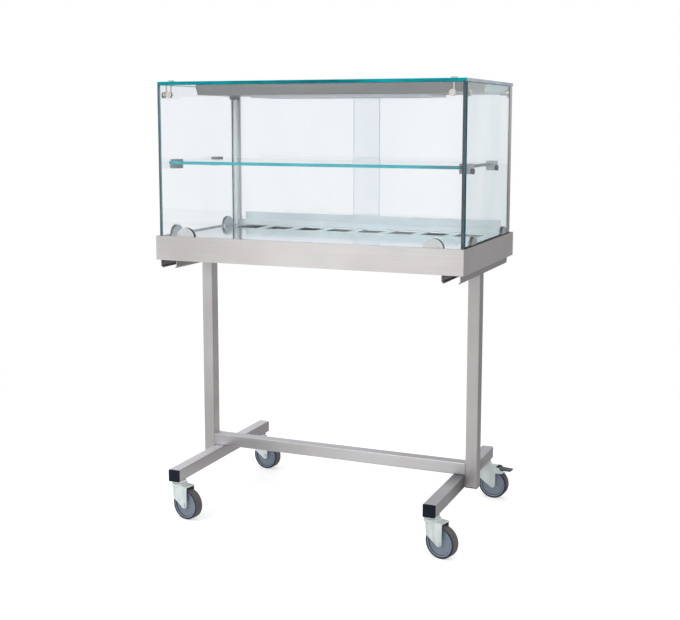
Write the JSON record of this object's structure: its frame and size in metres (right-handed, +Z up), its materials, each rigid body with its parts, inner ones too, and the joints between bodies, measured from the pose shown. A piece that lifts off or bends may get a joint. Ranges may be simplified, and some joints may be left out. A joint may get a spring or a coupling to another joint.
{
  "type": "heated display cart",
  "caption": "Wheeled stand with a glass display case on top: heated vented deck, glass shelf, lamp canopy and sliding rear doors.",
  "frame": {"origin": "on the floor, midway along the feet and on the case's centre line, which is the middle of the overall box in depth and 9 mm from its middle in width, because the brake pedal sticks out on the right", "axes": "+Z up; +X towards the right side as seen from the front; +Y towards the rear, where the sliding doors are, so the front faces -Y"},
  "size_m": [1.0579, 0.6667, 1.43],
  "materials": {
    "satin_steel": "satin",
    "zinc_steel": "bright zinc",
    "black_plastic": "matte",
    "hub_plastic": "matte",
    "tyre_rubber": "matte",
    "pedal_paint": "satin",
    "deck_steel": "polished",
    "heater_steel": "oxidised",
    "rocker_red": "gloss",
    "pilot_amber": "gloss",
    "wire_grey": "matte",
    "clear_glass": "clear",
    "black_seal": "matte",
    "clamp_satin": "satin",
    "pale_connector": "matte",
    "canopy_grey": "satin",
    "tray_white": "satin",
    "lamp_quartz": "frosted",
    "guard_glass": "frosted"
  },
  "bodies": {
    "frame": {"foot_left": "satin_steel", "foot_right": "satin_steel", "tube_end_caps": "black_plastic", "post_left": "satin_steel", "post_right": "satin_steel", "stretcher": "satin_steel", "support_channel_left": "satin_steel", "support_channel_right": "satin_steel", "case_bolts": "zinc_steel", "caster_stems": "zinc_steel", "base_skirt": "satin_steel", "base_bottom_cover": "satin_steel", "deck_plate": "deck_steel", "deck_heaters": "heater_steel", "fan_frames": "black_plastic", "switch_bodies": "black_plastic", "thermostat": "black_plastic", "pilot_lamp": "pilot_amber", "power_inlet": "black_plastic", "wiring": "wire_grey", "front_glass": "clear_glass", "side_glass_left": "clear_glass", "side_glass_right": "clear_glass", "top_glass": "clear_glass", "glass_seals": "black_seal", "glass_clamps": "clamp_satin", "corner_connectors": "pale_connector", "shelf_glass": "clear_glass", "shelf_clamps": "clamp_satin", "rear_post_left": "satin_steel", "rear_post_right": "satin_steel", "door_track_lower": "satin_steel", "door_track_upper": "satin_steel", "canopy_housing": "canopy_grey", "canopy_brackets": "canopy_grey", "lamp_tray": "tray_white", "lamp_tubes": "lamp_quartz", "lamp_guard_glass": "guard_glass"},
    "swivel_front_left": {"caster_fork_front_left": "zinc_steel"},
    "wheel_front_left": {"caster_wheel_front_left": "hub_plastic", "caster_tyre_front_left": "tyre_rubber"},
    "swivel_front_right": {"caster_fork_front_right": "zinc_steel"},
    "wheel_front_right": {"caster_wheel_front_right": "hub_plastic", "caster_tyre_front_right": "tyre_rubber"},
    "swivel_rear_left": {"caster_fork_rear_left": "zinc_steel"},
    "wheel_rear_left": {"caster_wheel_rear_left": "hub_plastic", "caster_tyre_rear_left": "tyre_rubber"},
    "swivel_rear_right": {"caster_fork_rear_right": "zinc_steel"},
    "wheel_rear_right": {"caster_wheel_rear_right": "hub_plastic", "caster_tyre_rear_right": "tyre_rubber"},
    "brake_pedal": {"brake_pedal": "pedal_paint"},
    "door_left": {"sliding_door_left": "clear_glass", "door_rail_left": "satin_steel"},
    "door_right": {"sliding_door_right": "clear_glass", "door_rail_right": "satin_steel"},
    "fan_left": {"fan_rotor_left": "black_plastic"},
    "fan_right": {"fan_rotor_right": "black_plastic"},
    "power_rocker": {"power_rocker": "rocker_red"},
    "light_rocker": {"light_rocker": "black_plastic"},
    "thermostat_knob": {"thermostat_knob": "black_plastic"}
  },
  "joints": [
    {"name": "swivel_front_left", "type": "hinge", "parent": "frame", "child": "swivel_front_left", "pos_m": [-0.438, -0.297, 0.115], "axis": [0, 0, 1], "continuous": true},
    {"name": "roll_front_left", "type": "hinge", "parent": "swivel_front_left", "child": "wheel_front_left", "pos_m": [-0.40369, -0.30392, 0.05], "axis": [0.1977, 0.9803, 0], "continuous": true},
    {"name": "swivel_front_right", "type": "hinge", "parent": "frame", "child": "swivel_front_right", "pos_m": [0.438, -0.297, 0.115], "axis": [0, 0, 1], "continuous": true},
    {"name": "roll_front_right", "type": "hinge", "parent": "swivel_front_right", "child": "wheel_front_right", "pos_m": [0.47174, -0.30629, 0.05], "axis": [0.2656, 0.9641, 0], "continuous": true},
    {"name": "swivel_rear_left", "type": "hinge", "parent": "frame", "child": "swivel_rear_left", "pos_m": [-0.438, 0.297, 0.115], "axis": [0, 0, 1], "continuous": true},
    {"name": "roll_rear_left", "type": "hinge", "parent": "swivel_rear_left", "child": "wheel_rear_left", "pos_m": [-0.4034, 0.29171, 0.05], "axis": [0.1513, 0.9885, 0], "continuous": true},
    {"name": "swivel_rear_right", "type": "hinge", "parent": "frame", "child": "swivel_rear_right", "pos_m": [0.438, 0.297, 0.115], "axis": [0, 0, 1], "continuous": true},
    {"name": "roll_rear_right", "type": "hinge", "parent": "swivel_rear_right", "child": "wheel_rear_right", "pos_m": [0.47289, 0.29425, 0.05], "axis": [0.0785, 0.9969, 0], "continuous": true},
    {"name": "brake_pedal", "type": "hinge", "parent": "swivel_rear_right", "child": "brake_pedal", "pos_m": [0.49183, 0.29276, 0.103], "axis": [0.0785, 0.9969, 0], "range_deg": [0, 12]},
    {"name": "door_left_slide", "type": "slide", "parent": "frame", "child": "door_left", "axis": [1, 0, 0], "range_m": [0, 0.455]},
    {"name": "door_right_slide", "type": "slide", "parent": "frame", "child": "door_right", "axis": [1, 0, 0], "range_m": [-0.455, 0]},
    {"name": "fan_left_spin", "type": "hinge", "parent": "frame", "child": "fan_left", "pos_m": [-0.23, 0.182, 0.895], "axis": [0, 0, 1], "continuous": true},
    {"name": "fan_right_spin", "type": "hinge", "parent": "frame", "child": "fan_right", "pos_m": [0.23, 0.182, 0.895], "axis": [0, 0, 1], "continuous": true},
    {"name": "power_rocker", "type": "hinge", "parent": "frame", "child": "power_rocker", "pos_m": [-0.372, 0.3045, 0.905], "axis": [1, 0, 0], "range_deg": [0, 12]},
    {"name": "light_rocker", "type": "hinge", "parent": "frame", "child": "light_rocker", "pos_m": [-0.304, 0.3045, 0.905], "axis": [1, 0, 0], "range_deg": [0, 12]},
    {"name": "thermostat_knob", "type": "hinge", "parent": "frame", "child": "thermostat_knob", "pos_m": [-0.244, 0.312, 0.905], "axis": [0, -1, 0], "range_deg": [0, 270]}
  ]
}
